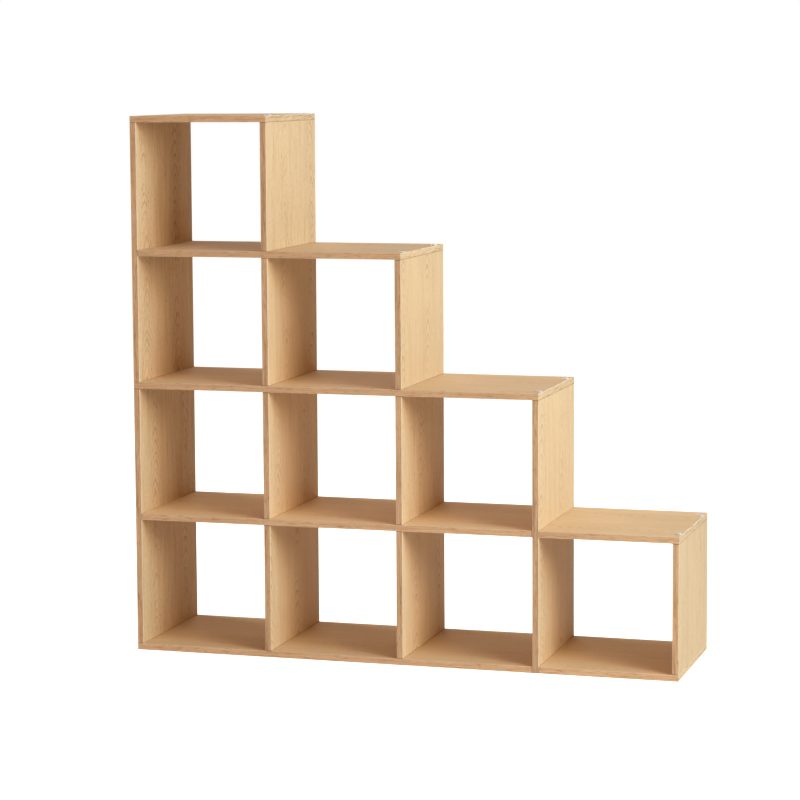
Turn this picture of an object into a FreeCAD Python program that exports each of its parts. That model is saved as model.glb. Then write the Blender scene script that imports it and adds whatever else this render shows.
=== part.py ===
import FreeCAD, Part
import math
import os
from collections import namedtuple

os.makedirs("parts", exist_ok=True)

# Overall dimensions, mm: clear size of one cell, depth front to back, and the board
cell_width = 334.0
cell_height = 324.0
shelf_depth = 390.0
board_thickness = 16.0

# Edge strips glued on the board edges
band_thickness = 1.0
band_round = 0.7

# Fits: added to a hole's radius, and free length past the tip in a blind hole
hole_clearance = 0.1
tip_clearance = 0.5
cut_overrun = 2.0

# Fastener places: from the front or back edge, and from a screw to the dowel beside it
fastener_inset = 50.0
dowel_offset = 32.0

# Board left under a blind hole that is drilled into its face
face_floor = 5.0

# Flat-head screws that show on the step ends; the offset from the upright's middle keeps the wide head on the board
step_screw_diameter = 6.0
step_screw_length = 50.0
step_screw_offset = 2.5
step_head_diameter = 20.0
step_head_height = 1.6
step_head_round = 0.6
step_socket_width = 4.0
step_socket_depth = 2.6

# Cap screws in counterbores, under the base and under the feet of the uprights
cap_screw_diameter = 6.0
cap_screw_length = 48.0
cap_head_diameter = 10.0
cap_head_height = 3.0
cap_head_round = 0.4
cap_head_recess = 0.4
cap_socket_width = 4.0
cap_socket_depth = 2.2

# Shared by both kinds of screw
screw_tip_chamfer = 1.2

# Wooden dowels
dowel_diameter = 8.0
dowel_length = 30.0
dowel_chamfer = 1.0

# Cam fittings: round housing, its cross slot, and the bolt whose head it draws in
cam_diameter = 15.0
cam_cover = 3.5
cam_setback = 24.0
cam_rim_chamfer = 0.5
cam_slot_width = 1.8
cam_slot_length = 9.0
cam_slot_depth = 2.0
bolt_thread_diameter = 6.0
bolt_neck_diameter = 5.0
bolt_head_diameter = 7.0
bolt_head_length = 3.0

# Two points closer than this are one place
same_place = 0.001

# Grid of the stair: upright lines from the left, shelf levels from the floor
column_count = 4
column_pitch = cell_width + board_thickness
level_pitch = cell_height + board_thickness
overall_width = column_count * column_pitch + board_thickness
front_face = -shelf_depth / 2
back_face = shelf_depth / 2

right_way = FreeCAD.Vector(1, 0, 0)
up = FreeCAD.Vector(0, 0, 1)
left_way = -right_way
down = -up

Board = namedtuple("Board", "left right bottom top banded_ends")


def left_face(column):
    return column * column_pitch - overall_width / 2


def right_face(column):
    return left_face(column) + board_thickness


def under_face(level):
    return level * level_pitch


def top_face(level):
    return under_face(level) + board_thickness


def lying(left, right, level, *banded_ends):
    return Board(left, right, under_face(level), top_face(level), banded_ends)


def standing(column, bottom, top):
    return Board(left_face(column), right_face(column), bottom, top, ())


boards = {
    "base_panel": lying(left_face(0), left_face(3), 0, "left"),
    "end_base_panel": lying(right_face(3), right_face(4), 0, "right"),
    "first_shelf": lying(right_face(0), left_face(3), 1),
    "end_top_panel": lying(right_face(3), right_face(4), 1, "right"),
    "second_shelf": lying(left_face(0), right_face(3), 2, "left", "right"),
    "third_shelf": lying(right_face(0), right_face(2), 3, "right"),
    "top_panel": lying(left_face(0), right_face(1), 4, "left", "right"),
    "lower_left_side": standing(0, top_face(0), under_face(2)),
    "upper_left_side": standing(0, top_face(2), under_face(4)),
    "two_row_upright": standing(3, under_face(0), under_face(2)),
    "end_side": standing(4, top_face(0), under_face(1)),
    "row_1_left_divider": standing(1, top_face(0), under_face(1)),
    "row_1_right_divider": standing(2, top_face(0), under_face(1)),
    "row_2_left_divider": standing(1, top_face(1), under_face(2)),
    "row_2_right_divider": standing(2, top_face(1), under_face(2)),
    "row_3_divider": standing(1, top_face(2), under_face(3)),
    "row_3_side": standing(2, top_face(2), under_face(3)),
    "row_4_side": standing(1, top_face(3), under_face(4)),
}

# What holds what: the first board carries the head or the face hole, the second takes the end hole
step_joints = (
    ("top_panel", "row_4_side"),
    ("third_shelf", "row_3_side"),
    ("second_shelf", "two_row_upright"),
    ("end_top_panel", "end_side"),
)
shelf_joints = (
    ("first_shelf", "row_1_left_divider"),
    ("first_shelf", "row_1_right_divider"),
    ("second_shelf", "lower_left_side"),
    ("second_shelf", "row_2_left_divider"),
    ("second_shelf", "row_2_right_divider"),
    ("third_shelf", "row_3_divider"),
)
base_joints = (
    ("base_panel", "lower_left_side"),
    ("base_panel", "row_1_left_divider"),
    ("base_panel", "row_1_right_divider"),
    ("end_base_panel", "end_side"),
)
foot_joints = (
    ("first_shelf", "row_2_left_divider"),
    ("first_shelf", "row_2_right_divider"),
    ("second_shelf", "upper_left_side"),
    ("second_shelf", "row_3_divider"),
    ("second_shelf", "row_3_side"),
    ("third_shelf", "row_4_side"),
)
butt_joints = (
    ("lower_left_side", "first_shelf"),
    ("upper_left_side", "third_shelf"),
)
# Upright in the middle, board that ends on its left, board that ends on its right
cross_joints = (
    ("two_row_upright", "base_panel", "end_base_panel"),
    ("two_row_upright", "first_shelf", "end_top_panel"),
)

# Cuts gathered for each board, and solids gathered for each node of fasteners
cuts = {name: [] for name in boards}
fasteners = {}


def middle(low, high):
    return (low + high) / 2


def box(left, right, front, back, bottom, top):
    corner = FreeCAD.Vector(left, front, bottom)
    return Part.makeBox(right - left, back - front, top - bottom, corner)


def placed(shape, point, direction):
    # Turns a shape made along +Z so that it runs along the direction from the point
    shape.Placement = FreeCAD.Placement(point, FreeCAD.Rotation(up, direction))
    return shape


def fastener_rows(inset):
    # The row near the front edge and its mirror near the back edge
    return (front_face + inset, back_face - inset)


def keep(node, solid):
    fasteners.setdefault(node, []).append(solid)


def bore(name, diameter, depth, point, direction):
    # Hole that starts at a point of the board's surface
    radius = diameter / 2 + hole_clearance
    start = point - direction * cut_overrun
    cuts[name].append(Part.makeCylinder(radius, depth + cut_overrun, start, direction))


def hexagon(width, depth, height):
    # Prism, width across flats, that runs from the height along +Z
    corner_radius = width / math.sqrt(3)
    corners = []
    for side in range(7):
        turn = side * math.pi / 3
        x = corner_radius * math.cos(turn)
        y = corner_radius * math.sin(turn)
        corners.append(FreeCAD.Vector(x, y, height))
    return Part.Face(Part.makePolygon(corners)).extrude(up * depth)


def edges_on(shape, axis, place):
    # Edges that lie whole at one place along the axis
    chosen = []
    for edge in shape.Edges:
        nearest = getattr(edge.BoundBox, axis + "Min")
        farthest = getattr(edge.BoundBox, axis + "Max")
        if abs(nearest - place) + abs(farthest - place) < same_place:
            chosen.append(edge)
    return chosen


def screw(diameter, length, head_diameter, head_height, head_round, socket_width, socket_depth):
    # Made along +Z with the underside of its head at zero
    shank = Part.makeCylinder(diameter / 2, length)
    shank = shank.makeChamfer(screw_tip_chamfer, edges_on(shank, "Z", length))
    head = Part.makeCylinder(head_diameter / 2, head_height, down * head_height)
    head = head.makeFillet(head_round, edges_on(head, "Z", -head_height))
    return head.fuse(shank).removeSplitter().cut(hexagon(socket_width, socket_depth, -head_height))


def peg(length):
    # Dowel along +Z with both ends chamfered
    body = Part.makeCylinder(dowel_diameter / 2, length)
    return body.makeChamfer(dowel_chamfer, edges_on(body, "Z", 0) + edges_on(body, "Z", length))


def step_screw(board_name, upright_name, y):
    # Down through the end of a step into the upright under it, with the head on top of the board
    upright = boards[upright_name]
    x = middle(upright.left, upright.right) - step_screw_offset
    seat = FreeCAD.Vector(x, y, boards[board_name].top)
    grip = step_screw_length - board_thickness
    bore(board_name, step_screw_diameter, board_thickness + cut_overrun, seat, down)
    bore(upright_name, step_screw_diameter, grip + tip_clearance, FreeCAD.Vector(x, y, upright.top), down)
    solid = screw(step_screw_diameter, step_screw_length, step_head_diameter, step_head_height,
                  step_head_round, step_socket_width, step_socket_depth)
    keep("step_screws", placed(solid, seat, down))


def cap_screw(node, board_name, upright_name, y, direction):
    # Through a board into the end of an upright, with the head sunk below the board's face
    board = boards[board_name]
    upright = boards[upright_name]
    x = middle(upright.left, upright.right)
    face = board.top if direction == down else board.bottom
    upright_end = board.bottom if direction == down else board.top
    sink = cap_head_height + cap_head_recess
    grip = cap_screw_length - (board_thickness - sink)
    start = FreeCAD.Vector(x, y, face)
    bore(board_name, cap_head_diameter, sink, start, direction)
    bore(board_name, cap_screw_diameter, board_thickness + cut_overrun, start, direction)
    bore(upright_name, cap_screw_diameter, grip + tip_clearance, FreeCAD.Vector(x, y, upright_end), direction)
    solid = screw(cap_screw_diameter, cap_screw_length, cap_head_diameter, cap_head_height,
                  cap_head_round, cap_socket_width, cap_socket_depth)
    keep(node, placed(solid, start + direction * sink, direction))


def dowel(node, face_name, end_name, point, direction):
    # From a blind hole in one board's face into the end of the other
    face_depth = board_thickness - face_floor
    bore(face_name, dowel_diameter, face_depth, point, -direction)
    bore(end_name, dowel_diameter, dowel_length - face_depth + tip_clearance, point, direction)
    keep(node, placed(peg(dowel_length), point - direction * face_depth, direction))


def through_dowel(upright_name, left_name, right_name, y):
    # Right through an upright, with as much in each board beside it as a short dowel has
    upright = boards[upright_name]
    shelf = boards[left_name]
    z = middle(shelf.bottom, shelf.top)
    grip = dowel_length - (board_thickness - face_floor)
    left_point = FreeCAD.Vector(upright.left, y, z)
    right_point = FreeCAD.Vector(upright.right, y, z)
    bore(left_name, dowel_diameter, grip + tip_clearance, left_point, left_way)
    bore(right_name, dowel_diameter, grip + tip_clearance, right_point, right_way)
    bore(upright_name, dowel_diameter, board_thickness + cut_overrun, left_point, right_way)
    keep("through_dowels", placed(peg(board_thickness + grip * 2), left_point + left_way * grip, right_way))


def cam(end_name, point, direction, outward):
    # Housing in a board near its end, open at the end for the bolt; outward is the face it shows on
    depth = board_thickness - cam_cover
    centre = point + direction * cam_setback
    shown = centre + outward * (board_thickness / 2)
    bore(end_name, cam_diameter, depth, shown, -outward)
    bore(end_name, bolt_head_diameter, cam_setback, point, direction)
    body = Part.makeCylinder(cam_diameter / 2, depth)
    body = body.makeChamfer(cam_rim_chamfer, edges_on(body, "Z", 0))
    half_length = cam_slot_length / 2
    half_width = cam_slot_width / 2
    slot = box(-half_length, half_length, -half_width, half_width, 0, cam_slot_depth)
    cross_slot = slot.copy()
    cross_slot.rotate(FreeCAD.Vector(), up, 90)
    body = placed(body.cut([slot, cross_slot]), shown, -outward)
    room_radius = bolt_head_diameter / 2 + hole_clearance
    room = Part.makeCylinder(room_radius, cam_setback + bolt_head_length, point, direction)
    keep("cam_housings", body.cut(room))


def bolt_head():
    # Centred on the cam's axis
    return Part.makeCylinder(bolt_head_diameter / 2, bolt_head_length, down * (bolt_head_length / 2))


def cam_joint(face_name, end_name, point, direction, outward):
    # Bolt screwed into one board's face, drawn in by a cam in the end of the other
    face_depth = board_thickness - face_floor
    cam(end_name, point, direction, outward)
    bore(face_name, bolt_thread_diameter, face_depth, point, -direction)
    thread = Part.makeCylinder(bolt_thread_diameter / 2, face_depth, down * face_depth)
    neck = Part.makeCylinder(bolt_neck_diameter / 2, cam_setback)
    head = bolt_head()
    head.translate(up * cam_setback)
    keep("cam_bolts", placed(thread.fuse([neck, head]), point, direction))


def double_cam_joint(upright_name, left_name, right_name, y):
    # One bolt through the upright, with a cam on each side
    upright = boards[upright_name]
    shelf = boards[left_name]
    z = middle(shelf.bottom, shelf.top)
    left_point = FreeCAD.Vector(upright.left, y, z)
    right_point = FreeCAD.Vector(upright.right, y, z)
    cam(left_name, left_point, left_way, down)
    cam(right_name, right_point, right_way, down)
    bore(upright_name, bolt_thread_diameter, board_thickness + cut_overrun, left_point, right_way)
    collar = Part.makeCylinder(bolt_thread_diameter / 2, board_thickness)
    span = board_thickness + cam_setback * 2
    neck = Part.makeCylinder(bolt_neck_diameter / 2, span, down * cam_setback)
    near_head = bolt_head()
    near_head.translate(down * cam_setback)
    far_head = bolt_head()
    far_head.translate(up * (board_thickness + cam_setback))
    keep("double_cam_bolts", placed(collar.fuse([neck, near_head, far_head]), left_point, right_way))


def upper_end(board_name, upright_name, y):
    upright = boards[upright_name]
    return FreeCAD.Vector(middle(upright.left, upright.right), y, boards[board_name].bottom)


def foot_end(board_name, upright_name, y):
    upright = boards[upright_name]
    return FreeCAD.Vector(middle(upright.left, upright.right), y, boards[board_name].top)


def butt_end(side_name, shelf_name, y):
    shelf = boards[shelf_name]
    return FreeCAD.Vector(boards[side_name].right, y, middle(shelf.bottom, shelf.top))


def fasten():
    middle_row = middle(front_face, back_face)
    for y in fastener_rows(fastener_inset):
        for board_name, upright_name in step_joints:
            step_screw(board_name, upright_name, y)
        for board_name, upright_name in shelf_joints:
            cap_screw("shelf_screws", board_name, upright_name, y, down)
        for board_name, upright_name in base_joints:
            cap_screw("base_screws", board_name, upright_name, y, up)
        for side_name, shelf_name in butt_joints:
            cam_joint(side_name, shelf_name, butt_end(side_name, shelf_name, y), right_way, down)
        for upright_name, left_name, right_name in cross_joints:
            double_cam_joint(upright_name, left_name, right_name, y)
        # The cams under the top panel are in the left side's outer face, which stands to the wall
        top_end = upper_end("top_panel", "upper_left_side", y)
        cam_joint("top_panel", "upper_left_side", top_end, down, left_way)
    for y in fastener_rows(fastener_inset + dowel_offset):
        for board_name, upright_name in foot_joints:
            dowel("foot_dowels", board_name, upright_name, foot_end(board_name, upright_name, y), up)
    for side_name, shelf_name in butt_joints:
        dowel("end_dowels", side_name, shelf_name, butt_end(side_name, shelf_name, middle_row), right_way)
    top_end = upper_end("top_panel", "upper_left_side", middle_row)
    dowel("end_dowels", "top_panel", "upper_left_side", top_end, down)
    for upright_name, left_name, right_name in cross_joints:
        through_dowel(upright_name, left_name, right_name, middle_row)


def panel(name):
    # The board without its strips, with all its holes
    board = boards[name]
    left = board.left + band_thickness if "left" in board.banded_ends else board.left
    right = board.right - band_thickness if "right" in board.banded_ends else board.right
    core = box(left, right, front_face + band_thickness, back_face - band_thickness, board.bottom, board.top)
    return core.cut(cuts[name])


def long_strip(board, outer, inner):
    # Along the front or back edge, rounded all round its outer face
    strip = box(board.left, board.right, min(outer, inner), max(outer, inner), board.bottom, board.top)
    return strip.makeFillet(band_round, edges_on(strip, "Y", outer))


def end_strip(board, outer, inner):
    # Across an end between the two long strips, rounded along its two long edges
    front = front_face + band_thickness
    back = back_face - band_thickness
    strip = box(min(outer, inner), max(outer, inner), front, back, board.bottom, board.top)
    level_edges = [edge for edge in edges_on(strip, "X", outer) if edge.BoundBox.ZLength < same_place]
    return strip.makeFillet(band_round, level_edges)


def edging(name):
    # One strip in front, one behind, and one on each end that stays in view
    board = boards[name]
    strips = [
        long_strip(board, front_face, front_face + band_thickness),
        long_strip(board, back_face, back_face - band_thickness),
    ]
    if "left" in board.banded_ends:
        strips.append(end_strip(board, board.left, board.left + band_thickness))
    if "right" in board.banded_ends:
        strips.append(end_strip(board, board.right, board.right - band_thickness))
    return Part.makeCompound(strips)


fasten()
for name in boards:
    panel(name).exportStep("parts/" + name + ".step")
    edging(name).exportStep("parts/" + name + "_edging.step")
for node, solids in fasteners.items():
    Part.makeCompound(solids).exportStep("parts/" + node + ".step")
    print(node, len(solids))
print("overall", overall_width, shelf_depth, top_face(column_count))
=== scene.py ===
import bmesh
import bpy
import math
import numpy as np
from mathutils import Matrix, Vector


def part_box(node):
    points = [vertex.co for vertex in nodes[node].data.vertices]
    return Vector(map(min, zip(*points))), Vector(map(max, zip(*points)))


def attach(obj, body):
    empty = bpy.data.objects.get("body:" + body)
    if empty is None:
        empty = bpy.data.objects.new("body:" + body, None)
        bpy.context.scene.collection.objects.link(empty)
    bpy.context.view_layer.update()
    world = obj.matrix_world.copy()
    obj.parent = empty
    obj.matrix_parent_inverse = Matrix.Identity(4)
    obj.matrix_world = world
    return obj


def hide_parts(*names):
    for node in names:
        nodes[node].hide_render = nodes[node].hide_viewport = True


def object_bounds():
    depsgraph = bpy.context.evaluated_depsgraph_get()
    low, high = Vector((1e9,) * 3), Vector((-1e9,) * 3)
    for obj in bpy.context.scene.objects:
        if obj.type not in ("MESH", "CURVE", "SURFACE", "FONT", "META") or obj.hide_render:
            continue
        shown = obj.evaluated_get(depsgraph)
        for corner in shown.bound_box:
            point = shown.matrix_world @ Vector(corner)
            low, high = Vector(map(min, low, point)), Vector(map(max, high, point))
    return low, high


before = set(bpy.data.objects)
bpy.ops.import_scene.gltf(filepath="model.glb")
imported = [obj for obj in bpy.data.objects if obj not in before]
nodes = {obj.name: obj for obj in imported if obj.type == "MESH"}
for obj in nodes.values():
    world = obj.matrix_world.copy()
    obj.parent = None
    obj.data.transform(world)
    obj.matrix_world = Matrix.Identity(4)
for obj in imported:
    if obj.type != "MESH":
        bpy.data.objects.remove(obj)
cadBox = [list(corner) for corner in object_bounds()]
print("frame loaded:", len(nodes), "nodes")

viewpoint = {
    "eye": (1.9057, -6.5386, 1.4741),
    "yaw": 0.3001,            # turned left of straight ahead, radians
    "pitch": 0.1027,          # tipped down
    "roll": -0.0069,
    "sensor": 36.0,
    "lens": 120.71,
    "shift": (0.0301, -0.0601),
}


def addToScene(thing):
    bpy.context.scene.collection.objects.link(thing)


def setCamera(spec):
    sinYaw, cosYaw = math.sin(spec["yaw"]), math.cos(spec["yaw"])
    sinPitch, cosPitch = math.sin(spec["pitch"]), math.cos(spec["pitch"])
    sinRoll, cosRoll = math.sin(spec["roll"]), math.cos(spec["roll"])
    ahead = Vector((-sinYaw * cosPitch, cosYaw * cosPitch, -sinPitch))
    level = Vector((cosYaw, sinYaw, 0))
    upward = level.cross(ahead)
    right = level * cosRoll + upward * sinRoll
    top = upward * cosRoll - level * sinRoll
    data = bpy.data.cameras.new("photoCamera")
    data.sensor_width = spec["sensor"]
    data.lens = spec["lens"]
    data.shift_x, data.shift_y = spec["shift"]
    camera = bpy.data.objects.new("photoCamera", data)
    turn = Matrix((right, top, -ahead)).transposed().to_4x4()
    camera.matrix_world = Matrix.Translation(spec["eye"]) @ turn
    addToScene(camera)
    bpy.context.scene.camera = camera


setCamera(viewpoint)
print("camera set")


# node helpers: a value that is a socket gets linked, any other is set
def feed(tree, socket, value):
    if isinstance(value, bpy.types.NodeSocket):
        tree.links.new(value, socket)
    else:
        socket.default_value = value


def calc(tree, operation, *values):
    node = tree.nodes.new("ShaderNodeMath")
    node.operation = operation
    for socket, value in zip(node.inputs, values):
        feed(tree, socket, value)
    return node.outputs[0]


def plus(tree, first, second):
    return calc(tree, "ADD", first, second)


def minus(tree, first, second):
    return calc(tree, "SUBTRACT", first, second)


def times(tree, first, second):
    return calc(tree, "MULTIPLY", first, second)


# value x factor + start
def scaled(tree, value, factor, start):
    return plus(tree, times(tree, value, factor), start)


# a noise about its mean of a half, times amount
def swing(tree, noise, amount):
    return times(tree, minus(tree, noise, 0.5), amount)


def vectorCalc(tree, operation, first, second):
    node = tree.nodes.new("ShaderNodeVectorMath")
    node.operation = operation
    feed(tree, node.inputs[0], first)
    feed(tree, node.inputs[1], second)
    return node.outputs[0]


def parts(tree, vector):
    node = tree.nodes.new("ShaderNodeSeparateXYZ")
    feed(tree, node.inputs[0], vector)
    return node.outputs


# soft noise with scale cycles per metre along X, Y and Z
def cloud(tree, vector, scale, detail, roughness):
    node = tree.nodes.new("ShaderNodeTexNoise")
    node.inputs["Scale"].default_value = 1.0
    node.inputs["Detail"].default_value = detail
    node.inputs["Roughness"].default_value = roughness
    feed(tree, node.inputs["Vector"], vectorCalc(tree, "MULTIPLY", vector, scale))
    return node.outputs[0]


# 0 below low, 1 above high, smooth between them
def rise(tree, value, low, high):
    node = tree.nodes.new("ShaderNodeMapRange")
    node.interpolation_type = "SMOOTHSTEP"
    feed(tree, node.inputs["Value"], value)
    feed(tree, node.inputs["From Min"], low)
    feed(tree, node.inputs["From Max"], high)
    return node.outputs[0]


# 1 below low, 0 above high, smooth between them
def fall(tree, value, low, high):
    return minus(tree, 1.0, rise(tree, value, low, high))


def tint(tree, share, first, second, mode="MIX"):
    node = tree.nodes.new("ShaderNodeMix")
    node.data_type = "RGBA"
    node.blend_type = mode
    feed(tree, node.inputs[0], share)
    feed(tree, node.inputs[6], first)
    feed(tree, node.inputs[7], second)
    return node.outputs[2]


def newGroup(name, inputs, outputs):
    group = bpy.data.node_groups.new(name, "ShaderNodeTree")
    for label, kind, start in inputs:
        socket = group.interface.new_socket(label, in_out="INPUT", socket_type="NodeSocket" + kind)
        if start is not None:
            socket.default_value = start
    for label, kind in outputs:
        group.interface.new_socket(label, in_out="OUTPUT", socket_type="NodeSocket" + kind)
    return group, group.nodes.new("NodeGroupInput").outputs, group.nodes.new("NodeGroupOutput").inputs


finishOutputs = (("Color", "Color"), ("Roughness", "Float"), ("Height", "Float"))

boardInputs = (
    ("Vector", "Vector", None),
    ("Light Wood", "Color", (0.6, 0.4, 0.2, 1)),
    ("Dark Wood", "Color", (0.4, 0.25, 0.12, 1)),
    ("Half Thickness", "Float", 0.008),
    ("Half Length", "Float", 1.0),
    ("Slide", "Float", 0.0),
    ("Low Joint", "Float", 0.0),
    ("High Joint", "Float", 0.0),
)

poreTint = (0.66, 0.54, 0.44, 1)


# painted shade: a dark hairline where a board ends at a joint, standing for the shadow in the gap; along is
# measured from the board's middle
def jointShadowLine(tree, along, given, spec):
    reach = minus(tree, given["Half Length"], spec["width"])
    full = minus(tree, given["Half Length"], spec["darkest"])
    highEnd = times(tree, rise(tree, along, reach, full), given["High Joint"])
    lowEnd = times(tree, rise(tree, times(tree, along, -1.0), reach, full), given["Low Joint"])
    return times(tree, calc(tree, "MAXIMUM", highEnd, lowEnd), spec["weight"])


# noises: cycles per metre across the grain, along it and through the board, then detail and roughness;
# pairs of numbers are the low and high ends of a rise or fall; lengths in metres
oakPattern = {
    "heartSpacing": 0.21,
    "heartWidth": 0.014,
    "ringWidth": 0.014,
    "archLength": 0.030,
    "wanderNoise": ((3.0, 2.6, 9.0), 2.0, 0.5),
    "wander": 0.06,
    "driftNoise": ((9.0, 7.0, 20.0), 3.0, 0.5),
    "drift": 3.2,                      # in rings
    "heartReach": (0.006, 0.050),
    "farStrength": 0.10,               # of the arches away from a heart line
    "patchNoise": ((8.0, 11.0, 20.0), 2.0, 0.5),
    "patchRange": (0.38, 0.62),
    "fadedStrength": 0.25,             # of the arches where they fade along the heart line
    "lateStart": (0.50, 0.90),         # parts of a ring
    "lateEnd": (0.92, 1.0),
    "lateShare": 0.95,
    "poreStart": (0.72, 0.92),
    "poreEnd": (0.02, 0.15),
    "poreNoise": ((260.0, 90.0, 90.0), 1.0, 0.5),
    "poreRange": (0.57, 0.67),
    "strayPores": 0.12,
    "fibreNoise": ((240.0, 12.0, 60.0), 3.0, 0.6),
    "fibreShare": 0.75,
    "streakNoise": ((60.0, 3.0, 30.0), 2.0, 0.55),
    "streakShare": 0.45,
    "toneNoise": ((13.0, 3.0, 20.0), 2.0, 0.5),
    "toneMean": 0.40,
    "toneShare": 0.55,
    "shareRange": (-0.30, 1.05),
    # painted shade: a dark hairline at the joints, standing for the shadow in the gap
    "jointShadow": {"width": 0.0013, "darkest": 0.000325, "weight": 0.75, "colour": (0.18, 0.068, 0.018, 1)},
    "chipScale": (260.0, 260.0, 700.0),
    "chipColours": ((0.44, 0.30, 0.17, 1), (0.24, 0.15, 0.08, 1)),
    "coreDepth": (0.0002, 0.0004),
    "roughness": 0.60,
    "fibreRoughness": 0.22,
    "poreRoughness": 0.12,
    "coreRoughness": 0.30,
    "fibreHeight": 0.35,
}


# printed oak on a chip core; X is across the grain from the heart line, Y along it,
# Z from the middle of the board
def makeOakGroup(spec):
    tree, given, result = newGroup("laminatedOak", boardInputs + (
        ("Figure", "Float", 0.5),
        ("Grain", "Float", 1.0),
        ("Joint Shadow Weight", "Float", 1.0)), finishOutputs)
    place = given["Vector"]
    across, along, through = parts(tree, place)
    # ring number = distance from the nearest wandering heart line / ring width
    # + length / arch length + drift
    wander = swing(tree, cloud(tree, place, *spec["wanderNoise"]), spec["wander"])
    spaces = calc(tree, "DIVIDE", plus(tree, across, wander), spec["heartSpacing"])
    offHeart = times(tree, minus(tree, spaces, calc(tree, "ROUND", spaces)), spec["heartSpacing"])
    heart = calc(tree, "SQRT", scaled(tree, offHeart, offHeart, spec["heartWidth"] ** 2))
    drift = times(tree, cloud(tree, place, *spec["driftNoise"]), spec["drift"])
    ring = plus(tree, calc(tree, "DIVIDE", heart, spec["ringWidth"]),
                plus(tree, calc(tree, "DIVIDE", along, spec["archLength"]), drift))
    phase = calc(tree, "FRACT", ring)
    # the arches are strongest near the heart line and come and go along it
    nearHeart = fall(tree, calc(tree, "ABSOLUTE", offHeart), *spec["heartReach"])
    patchy = rise(tree, cloud(tree, place, *spec["patchNoise"]), *spec["patchRange"])
    strength = times(tree, scaled(tree, nearHeart, 1 - spec["farStrength"], spec["farStrength"]),
                     scaled(tree, patchy, 1 - spec["fadedStrength"], spec["fadedStrength"]))
    strength = times(tree, strength, given["Figure"])
    lateWood = times(tree, rise(tree, phase, *spec["lateStart"]), fall(tree, phase, *spec["lateEnd"]))
    poreZone = calc(tree, "MAXIMUM", rise(tree, phase, *spec["poreStart"]),
                    fall(tree, phase, *spec["poreEnd"]))
    specks = rise(tree, cloud(tree, place, *spec["poreNoise"]), *spec["poreRange"])
    strayPores = times(tree, given["Grain"], spec["strayPores"])
    pores = times(tree, specks, scaled(tree, poreZone, strength, strayPores))
    fibre = cloud(tree, place, *spec["fibreNoise"])
    streaks = cloud(tree, place, *spec["streakNoise"])
    tone = cloud(tree, place, *spec["toneNoise"])
    # share of dark wood = late wood x strength + (fibre + streaks) x grain + slow tone
    figure = times(tree, lateWood, times(tree, strength, spec["lateShare"]))
    lines = plus(tree, swing(tree, fibre, spec["fibreShare"]), swing(tree, streaks, spec["streakShare"]))
    lines = times(tree, lines, given["Grain"])
    slowTone = times(tree, minus(tree, tone, spec["toneMean"]), spec["toneShare"])
    share = rise(tree, plus(tree, plus(tree, figure, lines), slowTone), *spec["shareRange"])
    printed = tint(tree, share, given["Light Wood"], given["Dark Wood"])
    printed = tint(tree, calc(tree, "MINIMUM", pores, 1.0), printed, poreTint, "MULTIPLY")
    # painted shade along the joints where the board ends
    line = jointShadowLine(tree, minus(tree, along, given["Slide"]), given, spec["jointShadow"])
    printed = tint(tree, times(tree, line, given["Joint Shadow Weight"]), printed, spec["jointShadow"]["colour"])
    # chips of the core, which only the bores and the board ends show
    chips = tree.nodes.new("ShaderNodeTexVoronoi")
    feed(tree, chips.inputs["Vector"], vectorCalc(tree, "MULTIPLY", place, spec["chipScale"]))
    chips.inputs["Scale"].default_value = 1.0
    chipParts = tree.nodes.new("ShaderNodeSeparateColor")
    feed(tree, chipParts.inputs[0], chips.outputs["Color"])
    chipTone = chipParts.outputs[0]
    depth = minus(tree, given["Half Thickness"], calc(tree, "ABSOLUTE", through))
    inCore = rise(tree, depth, *spec["coreDepth"])
    feed(tree, result["Color"], tint(tree, inCore, printed, tint(tree, chipTone, *spec["chipColours"])))
    rough = plus(tree, swing(tree, fibre, spec["fibreRoughness"]),
                 scaled(tree, pores, spec["poreRoughness"], spec["roughness"]))
    feed(tree, result["Roughness"], scaled(tree, inCore, spec["coreRoughness"], rough))
    relief = minus(tree, times(tree, fibre, spec["fibreHeight"]), pores)
    feed(tree, result["Height"], scaled(tree, inCore, chipTone, relief))
    return tree


# noises as for the oak, but across the strip, along the board's length and along its breadth;
# values named end are added on the board's ends, whose strips lie in the last millimetre of its length
stripPattern = {
    "endDepth": (0.00105, 0.00095),
    "waveNoise": ((20.0, 9.0, 9.0), 2.0, 0.5),
    "wave": 0.012,
    "lean": 0.10,
    "fineNoise": ((420.0, 15.0, 15.0), 3.0, 0.65),
    "broadNoise": ((190.0, 6.0, 6.0), 2.0, 0.5),
    "broadShare": 1.5,
    "endBroadShare": -1.0,
    "shareStart": 0.75,
    "shareRange": (0.75, 1.95),
    "meanShare": 0.39,
    "longTint": (1.0, 0.943, 0.93, 1),
    "poreNoise": ((480.0, 40.0, 26.0), 1.0, 0.5),
    "poreRange": (0.57, 0.67),
    "poreShare": 0.62,
    "endPoreShare": 0.38,
    # painted highlight along the strips' arrises: where it starts and is full, its break-up, its share on
    # the ends and its colour
    "arrisHighlightStart": 0.84,               # parts of the half thickness
    "endArrisHighlightStart": -0.10,
    "arrisHighlightFull": 0.97,
    "arrisHighlightRange": (0.20, 0.55),
    "endArrisHighlightShare": 0.35,
    "arrisHighlightColour": (0.95, 0.81, 0.60, 1),
    # painted shade: a dark hairline where a strip ends at a joint, standing for the shadow in the gap
    "jointShadow": {"width": 0.0022, "darkest": 0.00055, "weight": 0.85, "colour": (0.20, 0.070, 0.015, 1)},
    "roughness": 0.40,
    "fineRoughness": 0.24,
    "fineHeight": 0.5,
}


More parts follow.
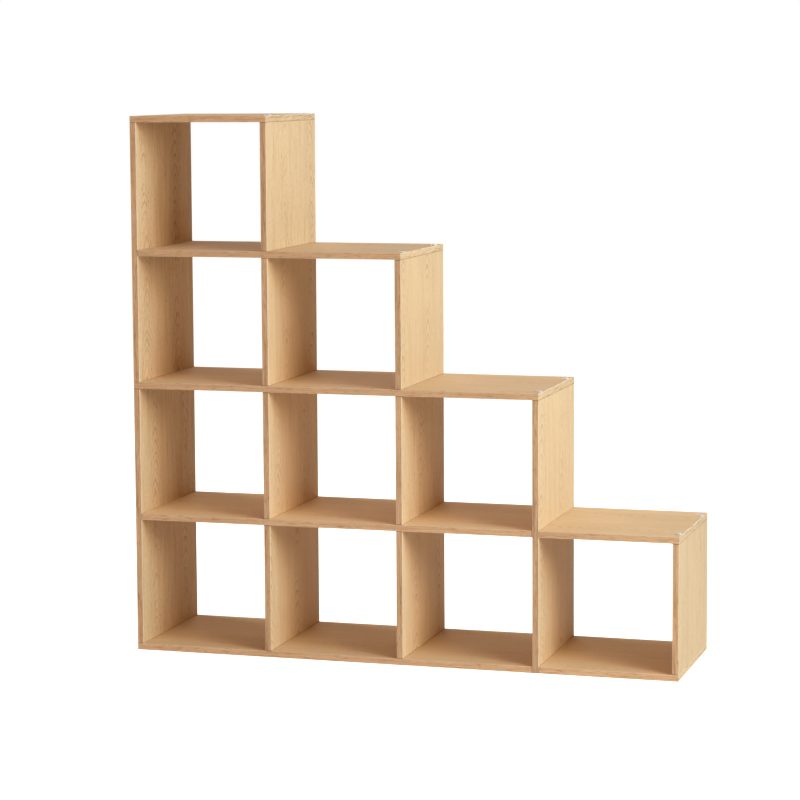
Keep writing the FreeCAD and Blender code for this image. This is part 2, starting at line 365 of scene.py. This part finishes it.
# glued edge strip; X is across the strip from its middle, Y is the board's length and Z its breadth
def makeStripGroup(spec):
    tree, given, result = newGroup("edgeStrip", boardInputs + (
        ("End Tint", "Color", (1, 1, 1, 1)),
        ("Arris Highlight", "Float", 0.5),
        ("Contrast", "Float", 1.0)), finishOutputs)
    place = given["Vector"]
    across, length, breadth = parts(tree, place)
    along = minus(tree, length, given["Slide"])
    endStart, endFull = (minus(tree, given["Half Length"], depth) for depth in spec["endDepth"])
    onEnd = rise(tree, calc(tree, "ABSOLUTE", along), endStart, endFull)
    # streaks that lean a little: the place across is pushed by a slow wave less breadth x lean
    wave = swing(tree, cloud(tree, place, *spec["waveNoise"]), spec["wave"])
    push = tree.nodes.new("ShaderNodeCombineXYZ")
    feed(tree, push.inputs[0], minus(tree, wave, times(tree, breadth, spec["lean"])))
    bent = vectorCalc(tree, "ADD", place, push.outputs[0])
    fineStreaks = cloud(tree, bent, *spec["fineNoise"])
    broadStreaks = cloud(tree, bent, *spec["broadNoise"])
    pores = rise(tree, cloud(tree, bent, *spec["poreNoise"]), *spec["poreRange"])
    # share of dark wood = fine streaks + broad ones, which count less on the ends
    broad = swing(tree, broadStreaks, scaled(tree, onEnd, spec["endBroadShare"], spec["broadShare"]))
    share = rise(tree, plus(tree, broad, plus(tree, fineStreaks, spec["shareStart"])), *spec["shareRange"])
    # the ends keep the full contrast; elsewhere Contrast draws the share towards its mean
    strength = calc(tree, "MAXIMUM", given["Contrast"], onEnd)
    share = scaled(tree, minus(tree, share, spec["meanShare"]), strength, spec["meanShare"])
    wood = tint(tree, share, given["Light Wood"], given["Dark Wood"])
    # long strips are redder than the ones on the ends: partly the strips' own hue, partly painted shade on
    # the front-facing long strips, which get less light than the end strips facing the lamps on the right
    wood = tint(tree, 1.0, wood, tint(tree, onEnd, spec["longTint"], given["End Tint"]), "MULTIPLY")
    poreShare = times(tree, pores, scaled(tree, onEnd, spec["endPoreShare"], spec["poreShare"]))
    wood = tint(tree, poreShare, wood, poreTint, "MULTIPLY")
    # painted highlight on the arrises: paler near the arris, on the ends only near the upper one and wider
    # there
    lower = times(tree, across, minus(tree, onEnd, 1.0))
    nearArris = calc(tree, "DIVIDE", calc(tree, "MAXIMUM", across, lower), given["Half Thickness"])
    arrisHighlightStart = scaled(tree, onEnd, spec["endArrisHighlightStart"], spec["arrisHighlightStart"])
    arrisHighlight = times(tree, rise(tree, nearArris, arrisHighlightStart, spec["arrisHighlightFull"]),
                    rise(tree, broadStreaks, *spec["arrisHighlightRange"]))
    arrisHighlight = times(tree, arrisHighlight, scaled(tree, onEnd, spec["endArrisHighlightShare"], given["Arris Highlight"]))
    wood = tint(tree, arrisHighlight, wood, spec["arrisHighlightColour"])
    # painted shade where the strip ends at a joint
    line = jointShadowLine(tree, along, given, spec["jointShadow"])
    feed(tree, result["Color"], tint(tree, line, wood, spec["jointShadow"]["colour"]))
    feed(tree, result["Roughness"], scaled(tree, fineStreaks, spec["fineRoughness"], spec["roughness"]))
    feed(tree, result["Height"], minus(tree, times(tree, fineStreaks, spec["fineHeight"]), pores))
    return tree


steelPattern = {
    "markDetail": 3.0,
    "markBreakup": 0.65,
    "markColour": (0.9, 0.9, 0.9, 1),
    "markShare": 0.3,
    "markRoughness": 0.22,
    "spotNoise": ((240.0, 240.0, 240.0), 3.0, 0.5),
    "spotRange": (0.52, 0.75),
    "dirtShare": 0.45,
    "dirtColour": (0.2, 0.18, 0.16, 1),
    "dirtRoughness": 0.3,
}


# worked steel: fine marks along one direction, dull spots and a little dirt
def makeSteelGroup(spec):
    tree, given, result = newGroup("workedSteel", (
        ("Vector", "Vector", None),
        ("Metal", "Color", (0.6, 0.6, 0.6, 1)),
        ("Mark Scale", "Vector", (900.0, 900.0, 60.0)),
        ("Base Roughness", "Float", 0.3)), finishOutputs)
    place = given["Vector"]
    marks = cloud(tree, place, given["Mark Scale"], spec["markDetail"], spec["markBreakup"])
    spots = cloud(tree, place, *spec["spotNoise"])
    dirt = times(tree, rise(tree, spots, *spec["spotRange"]), spec["dirtShare"])
    worked = tint(tree, times(tree, marks, spec["markShare"]), given["Metal"], spec["markColour"])
    feed(tree, result["Color"], tint(tree, dirt, worked, spec["dirtColour"]))
    dull = plus(tree, times(tree, marks, spec["markRoughness"]), times(tree, dirt, spec["dirtRoughness"]))
    feed(tree, result["Roughness"], plus(tree, given["Base Roughness"], dull))
    feed(tree, result["Height"], marks)
    return tree


groups = {
    "oak": makeOakGroup(oakPattern),
    "strip": makeStripGroup(stripPattern),
    "steel": makeSteelGroup(steelPattern),
}


# turn holds the rows that take the frame's X, Y, Z to the pattern's; middle is the point that comes
# to slide; bump holds a strength and a distance
def newMaterial(name, group, values, turn, middle, slide, shader, bump, uvMap=None):
    material = bpy.data.materials.new(name)
    material.use_nodes = True
    tree = material.node_tree
    tree.nodes.clear()
    output = tree.nodes.new("ShaderNodeOutputMaterial")
    surface = tree.nodes.new("ShaderNodeBsdfPrincipled")
    tree.links.new(surface.outputs[0], output.inputs["Surface"])
    for label, value in shader.items():
        surface.inputs[label].default_value = value
    if uvMap:
        source = tree.nodes.new("ShaderNodeUVMap")
        source.uv_map = uvMap
        start = source.outputs[0]
    else:
        start = tree.nodes.new("ShaderNodeTexCoord").outputs["Object"]
    mapping = tree.nodes.new("ShaderNodeMapping")
    matrix = Matrix(turn)
    mapping.inputs["Rotation"].default_value = matrix.to_euler()
    mapping.inputs["Location"].default_value = Vector(slide) - matrix @ Vector(middle)
    tree.links.new(start, mapping.inputs["Vector"])
    pattern = tree.nodes.new("ShaderNodeGroup")
    pattern.node_tree = groups[group]
    tree.links.new(mapping.outputs[0], pattern.inputs["Vector"])
    for label, value in values.items():
        pattern.inputs[label].default_value = value
    tree.links.new(pattern.outputs["Color"], surface.inputs["Base Color"])
    tree.links.new(pattern.outputs["Roughness"], surface.inputs["Roughness"])
    relief = tree.nodes.new("ShaderNodeBump")
    relief.inputs["Strength"].default_value, relief.inputs["Distance"].default_value = bump
    tree.links.new(pattern.outputs["Height"], relief.inputs["Height"])
    tree.links.new(relief.outputs[0], surface.inputs["Normal"])
    return material


def dress(name, material):
    data = nodes[name].data
    data.materials.clear()
    data.materials.append(material)


# rows of the turns: pattern X, Y, Z as directions of the frame
turns = {
    "standingFace": ((0, 1, 0), (0, 0, 1), (1, 0, 0)),
    "lyingFace": ((0, -1, 0), (1, 0, 0), (0, 0, 1)),
    "standingStrip": ((1, 0, 0), (0, 0, 1), (0, -1, 0)),
    "lyingStrip": ((0, 0, 1), (1, 0, 0), (0, 1, 0)),
    "asMade": ((1, 0, 0), (0, 1, 0), (0, 0, 1)),
}

# heart: where the arches stand, metres from the board's middle
# tone, strip: lightness of the sheet and of its edge strips; partly the board's own tone, partly painted
# light and shade, such as the darker top panel where the light grazes it and the strips lighter towards the
# floor
# grain: how strongly the fine lines show
# joints: 1 where the low or high end meets a board
# end: lightness of the strip on the end of the board against its other strips
# figure: how strongly the arches show, where that isn't as on most boards
# line: weight of the painted joint shadow lines on the faces
boardFinish = {
    "base_panel": {"heart": 0.07, "tone": 0.94, "strip": 1.08, "grain": 1.0, "joints": (0, 1)},
    "end_base_panel": {"heart": -0.05, "tone": 1.00, "strip": 1.08, "grain": 1.0, "joints": (1, 0),
                       "end": 0.95},
    "first_shelf": {"heart": 0.11, "tone": 1.08, "strip": 1.01, "grain": 1.0, "joints": (1, 1)},
    "end_top_panel": {"heart": -0.09, "tone": 1.06, "strip": 0.96, "grain": 0.9, "joints": (1, 0),
                      "end": 0.92},
    "second_shelf": {"heart": -0.03, "tone": 1.00, "strip": 0.95, "grain": 0.9, "joints": (0, 0),
                     "end": 1.06},
    "third_shelf": {"heart": 0.06, "tone": 0.90, "strip": 0.93, "grain": 0.9, "joints": (1, 0),
                    "end": 1.12},
    "top_panel": {"heart": -0.08, "tone": 0.82, "strip": 0.96, "grain": 0.9, "joints": (0, 0)},
    "lower_left_side": {"heart": -0.10, "tone": 0.92, "strip": 0.90, "grain": 2.4, "joints": (1, 1),
                        "figure": 0.85},
    "upper_left_side": {"heart": -0.14, "tone": 0.98, "strip": 0.92, "grain": 2.4, "joints": (1, 1),
                        "figure": 0.95},
    "two_row_upright": {"heart": 0.05, "tone": 1.01, "strip": 0.83, "grain": 1.6, "joints": (0, 1)},
    "end_side": {"heart": 0.09, "tone": 0.91, "strip": 0.93, "grain": 1.5, "joints": (1, 1),
                 "figure": 0.25, "line": 0.4},
    "row_1_left_divider": {"heart": 0.02, "tone": 1.00, "strip": 0.88, "grain": 1.4, "joints": (1, 1)},
    "row_1_right_divider": {"heart": -0.07, "tone": 1.06, "strip": 0.90, "grain": 1.4, "joints": (1, 1)},
    "row_2_left_divider": {"heart": 0.08, "tone": 1.04, "strip": 0.88, "grain": 1.5, "joints": (1, 1)},
    "row_2_right_divider": {"heart": -0.02, "tone": 1.03, "strip": 0.90, "grain": 2.4, "joints": (1, 1)},
    "row_3_divider": {"heart": -0.06, "tone": 1.05, "strip": 0.88, "grain": 1.5, "joints": (1, 1),
                      "figure": 0.90},
    "row_3_side": {"heart": 0.04, "tone": 0.99, "strip": 0.83, "grain": 1.2, "joints": (1, 1)},
    "row_4_side": {"heart": -0.055, "tone": 0.99, "strip": 0.82, "grain": 2.0, "joints": (1, 1)},
}

oakSheet = {
    "light": (0.80, 0.571, 0.318),
    "dark": (0.60, 0.394, 0.200),
    "standing": {"turn": "standingFace", "figure": 0.68},
    "lying": {"turn": "lyingFace", "figure": 0.38},
    "shader": {"Specular IOR Level": 0.22},
    "bump": (0.25, 0.0002),
    "slideStep": 3.7,         # the pattern slides along from board to board, so that no two match
}

oakStrip = {
    "light": (0.930, 0.652, 0.377),
    "dark": (0.530, 0.311, 0.145),
    "endTint": (0.950, 0.994, 0.998),
    # standing and lying strips: their turn, the strength of the painted arris highlight and the contrast
    "standing": {"turn": "standingStrip", "arrisHighlight": 0.75, "contrast": 0.90},
    "lying": {"turn": "lyingStrip", "arrisHighlight": 0.45, "contrast": 0.50},
    "shader": {"Specular IOR Level": 0.20},
    "bump": (0.20, 0.0002),
}


def shade(colour, tone):
    return tuple(part * tone for part in colour) + (1.0,)


def dressBoards():
    for number, (name, spec) in enumerate(boardFinish.items()):
        low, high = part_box(name)
        middle = (low + high) / 2
        size = high - low
        stance = "standing" if size.z > size.x else "lying"
        length, thickness = (size.z, size.x) if stance == "standing" else (size.x, size.z)
        slide = oakSheet["slideStep"] * (number + 1)
        shared = {"Half Thickness": thickness / 2, "Half Length": length / 2, "Slide": slide,
                  "Low Joint": spec["joints"][0], "High Joint": spec["joints"][1]}
        manner = oakSheet[stance]
        values = {"Light Wood": shade(oakSheet["light"], spec["tone"]),
                  "Dark Wood": shade(oakSheet["dark"], spec["tone"]),
                  "Figure": spec.get("figure", manner["figure"]),
                  "Grain": spec["grain"], "Joint Shadow Weight": spec.get("line", 1.0), **shared}
        dress(name, newMaterial(name + "_oak", "oak", values, turns[manner["turn"]], middle,
                                (-spec["heart"], slide, 0), oakSheet["shader"], oakSheet["bump"]))
        manner = oakStrip[stance]
        values = {"Light Wood": shade(oakStrip["light"], spec["strip"]),
                  "Dark Wood": shade(oakStrip["dark"], spec["strip"]),
                  "End Tint": shade(oakStrip["endTint"], spec.get("end", 1.0)),
                  "Arris Highlight": manner["arrisHighlight"], "Contrast": manner["contrast"], **shared}
        dress(name + "_edging", newMaterial(name + "_strip", "strip", values, turns[manner["turn"]], middle,
                                            (0, slide, slide), oakStrip["shader"], oakStrip["bump"]))


dressBoards()
print("boards and edge strips dressed:", len(boardFinish))

origin = (0, 0, 0)

fastenerFinish = {
    "zinc": {"metal": (0.55, 0.56, 0.58, 1), "marks": (700.0, 700.0, 700.0), "roughness": 0.34},
    "castZinc": {"metal": (0.46, 0.47, 0.48, 1), "marks": (380.0, 380.0, 380.0), "roughness": 0.46},
    "plated": {"metal": (0.82, 0.82, 0.84, 1), "marks": (26.0, 1.5, 1.0), "roughness": 0.50},
    "steelShader": {"Metallic": 1.0},
    "steelBump": (0.15, 0.0001),
    "beech": {"Light Wood": (0.58, 0.41, 0.25, 1), "Dark Wood": (0.40, 0.26, 0.14, 1),
              "Half Thickness": 1.0},
    "beechShader": {"Specular IOR Level": 0.3},
    "beechBump": (0.3, 0.0002),
    "zincNodes": ("shelf_screws", "base_screws", "cam_bolts", "double_cam_bolts"),
    "castNodes": ("cam_housings",),
    "dowelNodes": ("foot_dowels", "end_dowels", "through_dowels"),
}


def steelMaterial(name, spec, uvMap=None):
    values = {"Metal": spec["metal"], "Mark Scale": spec["marks"], "Base Roughness": spec["roughness"]}
    return newMaterial(name, "steel", values, turns["asMade"], origin, origin,
                       fastenerFinish["steelShader"], fastenerFinish["steelBump"], uvMap)


def dressFasteners(spec):
    zinc = steelMaterial("zincPlate", spec["zinc"])
    cast = steelMaterial("castZinc", spec["castZinc"])
    beech = newMaterial("dowelBeech", "strip", spec["beech"], turns["standingStrip"], origin, origin,
                        spec["beechShader"], spec["beechBump"])
    for key, material in (("zincNodes", zinc), ("castNodes", cast), ("dowelNodes", beech)):
        for name in spec[key]:
            dress(name, material)


dressFasteners(fastenerFinish)
print("hidden fasteners dressed")

# screws that show on the step ends: metres, as the solids are
stepScrew = {
    "steps": (("top_panel", "row_4_side"), ("third_shelf", "row_3_side"),
              ("second_shelf", "two_row_upright"), ("end_top_panel", "end_side")),
    "inset": 0.050,
    "offset": 0.0025,         # from the middle of the upright towards its inner face
    "headRadius": 0.010,
    "headHeight": 0.0016,
    "headRound": 0.0006,
    "roundRings": 6,
    "underBevel": 0.0002,
    "dishDepth": 0.00012,
    "dishRadius": 0.0072,
    "socketWidth": 0.0040,
    "socketDepth": 0.0026,
    "lipDepths": (0.00025, 0.0006),
    "lipWidening": (1.32, 1.12),       # of the socket's radius, outside the lip and at it
    "neckRadius": 0.0030,
    "neckLength": 0.014,
    "neckStep": 0.0009,
    "rootRadius": 0.0023,
    "length": 0.050,
    "tipLength": 0.003,
    "tipBevel": (0.0004, 0.0012),      # height and radius
    "threadPitch": 0.0030,
    "threadRings": 100,
    "threadFade": 12,                  # the thread fades over a twelfth of its length at both ends
    "crestSlope": 3.2,
    "around": 48,
    "weld": 1e-7,
    "sharpAngle": 32,
}


# one screw as a surface of revolution, tip first: height and radius along the outline, and two
# shares that say how much of the thread and of the hexagon each point has
def screwOutline(spec):
    top, rim, head = spec["headHeight"], spec["headRound"], spec["headRadius"]
    tip, neck = -spec["length"], -spec["neckLength"]
    socket = spec["socketWidth"] / 2
    lipHigh, lipLow = (top - depth for depth in spec["lipDepths"])
    outsideLip, atLip = (socket * widening for widening in spec["lipWidening"])
    bend = np.linspace(0, math.pi / 2, spec["roundRings"])
    run = np.linspace(0, 1, spec["threadRings"])
    threadHeight = np.linspace(tip + spec["tipLength"], neck, spec["threadRings"])
    threadShare = np.clip(run * spec["threadFade"], 0, 1) * np.clip((1 - run) * spec["threadFade"], 0, 1)
    rings = [
        ([tip, tip + spec["tipBevel"][0]], [0.0, spec["tipBevel"][1]], [0, 0], [0, 0]),
        (threadHeight, run * 0 + spec["rootRadius"], threadShare, run * 0),
        ([neck + spec["neckStep"], 0.0], [spec["neckRadius"]] * 2, [0, 0], [0, 0]),
        ([0.0, spec["underBevel"]], [head - spec["underBevel"], head], [0, 0], [0, 0]),
        (top - rim + rim * np.sin(bend), head - rim + rim * np.cos(bend), bend * 0, bend * 0),
        ([top - spec["dishDepth"]] * 2, [spec["dishRadius"], outsideLip], [0, 0], [0, 0]),
        ([lipHigh, lipLow], [atLip, socket], [0, 0], [1, 1]),
        ([top - spec["socketDepth"]] * 2, [socket, 0.0], [0, 0], [1, 1]),
    ]
    return [np.concatenate([np.asarray(ring[part], float) for ring in rings]) for part in range(4)]


def screwSeats(spec):
    front, back = cadBox[0][1] + spec["inset"], cadBox[1][1] - spec["inset"]
    seats = []
    for boardName, uprightName in spec["steps"]:
        low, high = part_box(uprightName)
        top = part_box(boardName)[1].z
        axis = (low.x + high.x) / 2 - spec["offset"]
        seats += [(axis, front, top), (axis, back, top)]
    return np.array(seats)


def makeStepScrews(spec):
    height, radius, threadShare, hexShare = screwOutline(spec)
    turn = np.linspace(0, 2 * math.pi, spec["around"], endpoint=False)[:, None]
    # the thread has its crest where height / pitch - turn is whole
    phase = height[None, :] / spec["threadPitch"] - turn / (2 * math.pi)
    crest = np.clip(1 - spec["crestSlope"] * np.abs(phase - np.round(phase)), 0, 1)
    wall = radius + (spec["neckRadius"] - radius) * crest * threadShare
    # a hexagon's radius over its apothem = 1 / cosine of the turn from the middle of the nearest side
    corner = 1 / np.cos((turn + math.pi / 6) % (math.pi / 3) - math.pi / 6)
    wall = wall * (1 + hexShare * (corner - 1))
    one = np.stack([wall * np.cos(turn), wall * np.sin(turn), np.broadcast_to(height, wall.shape)], axis=2)
    seats = screwSeats(spec)
    points = (one[None] + seats[:, None, None, :]).reshape(-1, 3)
    # faces of one grid, closed round the axis, then repeated for each screw
    around, rings = wall.shape
    a, b = np.meshgrid(np.arange(around), np.arange(rings - 1), indexing="ij")
    nextA = (a + 1) % around
    quads = np.stack([a * rings + b, nextA * rings + b, nextA * rings + b + 1, a * rings + b + 1], axis=2)
    firstPoints = np.arange(len(seats)) * around * rings
    quads = (quads.reshape(-1, 4)[None] + firstPoints[:, None, None]).reshape(-1, 4)
    mesh = bpy.data.meshes.new("stepScrewHeads")
    mesh.from_pydata(points, [], quads.tolist())
    # turned marks: one map coordinate is the distance from the axis in millimetres, the other the turn
    loopPoint = np.empty(len(mesh.loops), np.int32)
    mesh.loops.foreach_get("vertex_index", loopPoint)
    spread = np.stack([wall * 1000, np.broadcast_to(np.sin(turn), wall.shape)], axis=2)
    spread = np.tile(spread.reshape(-1, 2), (len(seats), 1))
    layer = mesh.uv_layers.new(name="turning")
    layer.data.foreach_set("uv", spread[loopPoint].astype(np.float32).ravel())
    work = bmesh.new()
    work.from_mesh(mesh)
    # the weld closes the tip and the socket floor
    bmesh.ops.remove_doubles(work, verts=work.verts, dist=spec["weld"])
    bmesh.ops.dissolve_degenerate(work, dist=spec["weld"], edges=work.edges)
    bmesh.ops.recalc_face_normals(work, faces=work.faces)
    work.to_mesh(mesh)
    work.free()
    mesh.polygons.foreach_set("use_smooth", np.ones(len(mesh.polygons), bool))
    mesh.set_sharp_from_angle(angle=math.radians(spec["sharpAngle"]))
    mesh.materials.append(steelMaterial("platedSteel", fastenerFinish["plated"], "turning"))
    piece = bpy.data.objects.new("step_screw_heads", mesh)
    addToScene(piece)
    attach(piece, "root")
    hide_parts("step_screws")


makeStepScrews(stepScrew)
print("step screws made")

# azimuth 0 is in front of the shelf and 90 on its right, degrees; powers in watts
studio = {
    "middle": (0.0, 0.0, 0.55),
    "lights": {
        "warmKey": {"azimuth": 58, "elevation": 21, "distance": 5.6, "size": 2.0, "power": 162.0,
                    "colour": (1.0, 0.915, 0.80)},
        "coolKey": {"azimuth": 74, "elevation": 28, "distance": 5.6, "size": 2.0, "power": 184.0,
                    "colour": (0.467, 0.762, 1.0)},
        "leftBox": {"azimuth": -100, "elevation": 22, "distance": 5.0, "size": 2.0, "power": 129.0,
                    "colour": (1.0, 0.99, 0.87)},
        "rearBox": {"azimuth": 195, "elevation": 42, "distance": 5.0, "size": 2.0, "power": 41.0,
                    "colour": (1.0, 1.0, 0.97)},
        "overheadBox": {"azimuth": 15, "elevation": 70, "distance": 4.0, "size": 1.6, "power": 19.0,
                        "colour": (1.0, 0.77, 0.71)},
    },
    "ambient": (0.236, 0.152, 0.121, 1.0),
    "backdrop": (1.0, 1.0, 1.0, 1.0),
    "floorSize": 60.0,
    "floorColours": ((0.76, 0.76, 0.76, 1), (0.80, 0.80, 0.80, 1)),
    "floorNoise": ((3.0, 3.0, 3.0), 3.0, 0.5),
    "floorRoughness": (0.1, 0.7),      # share of the mottle, and the rest
    "floorSpecular": 0.2,
    "floorLift": 0.93,                 # for the camera alone, so that the floor is as pale as the backdrop
}


def makeFloor(spec):
    half = spec["floorSize"] / 2
    corners = [(-half, -half, 0), (half, -half, 0), (half, half, 0), (-half, half, 0)]
    mesh = bpy.data.meshes.new("studioFloor")
    mesh.from_pydata(corners, [], [(0, 1, 2, 3)])
    floor = bpy.data.objects.new("studioFloor", mesh)
    addToScene(floor)
    material = bpy.data.materials.new("paleFloor")
    material.use_nodes = True
    tree = material.node_tree
    surface = tree.nodes["Principled BSDF"]
    place = tree.nodes.new("ShaderNodeTexCoord").outputs["Object"]
    mottle = cloud(tree, place, *spec["floorNoise"])
    feed(tree, surface.inputs["Base Color"], tint(tree, mottle, *spec["floorColours"]))
    feed(tree, surface.inputs["Roughness"], scaled(tree, mottle, *spec["floorRoughness"]))
    surface.inputs["Specular IOR Level"].default_value = spec["floorSpecular"]
    surface.inputs["Emission Color"].default_value = spec["backdrop"]
    seen = tree.nodes.new("ShaderNodeLightPath").outputs["Is Camera Ray"]
    feed(tree, surface.inputs["Emission Strength"], times(tree, seen, spec["floorLift"]))
    mesh.materials.append(material)


def makeLights(spec):
    for name, light in spec["lights"].items():
        data = bpy.data.lights.new(name, "AREA")
        data.shape = "SQUARE"
        data.size = light["size"]
        data.energy = light["power"]
        data.color = light["colour"]
        lamp = bpy.data.objects.new(name, data)
        around, raised = math.radians(light["azimuth"]), math.radians(light["elevation"])
        flat = math.cos(raised)
        way = Vector((math.sin(around) * flat, -math.cos(around) * flat, math.sin(raised)))
        place = Vector(spec["middle"]) + way * light["distance"]
        lamp.matrix_world = Matrix.Translation(place) @ (-way).to_track_quat("-Z", "Y").to_matrix().to_4x4()
        addToScene(lamp)


# the camera sees the backdrop, everything else the ambient light
def makeAir(spec):
    world = bpy.data.worlds.new("studioAir")
    world.use_nodes = True
    tree = world.node_tree
    air = tree.nodes["Background"]
    air.inputs["Color"].default_value = spec["ambient"]
    backdrop = tree.nodes.new("ShaderNodeBackground")
    backdrop.inputs["Color"].default_value = spec["backdrop"]
    choice = tree.nodes.new("ShaderNodeMixShader")
    tree.links.new(tree.nodes.new("ShaderNodeLightPath").outputs["Is Camera Ray"], choice.inputs[0])
    tree.links.new(air.outputs[0], choice.inputs[1])
    tree.links.new(backdrop.outputs[0], choice.inputs[2])
    tree.links.new(choice.outputs[0], tree.nodes["World Output"].inputs["Surface"])
    bpy.context.scene.world = world
    bpy.context.scene.view_settings.view_transform = "Standard"


makeFloor(studio)
makeLights(studio)
makeAir(studio)
print("studio set")
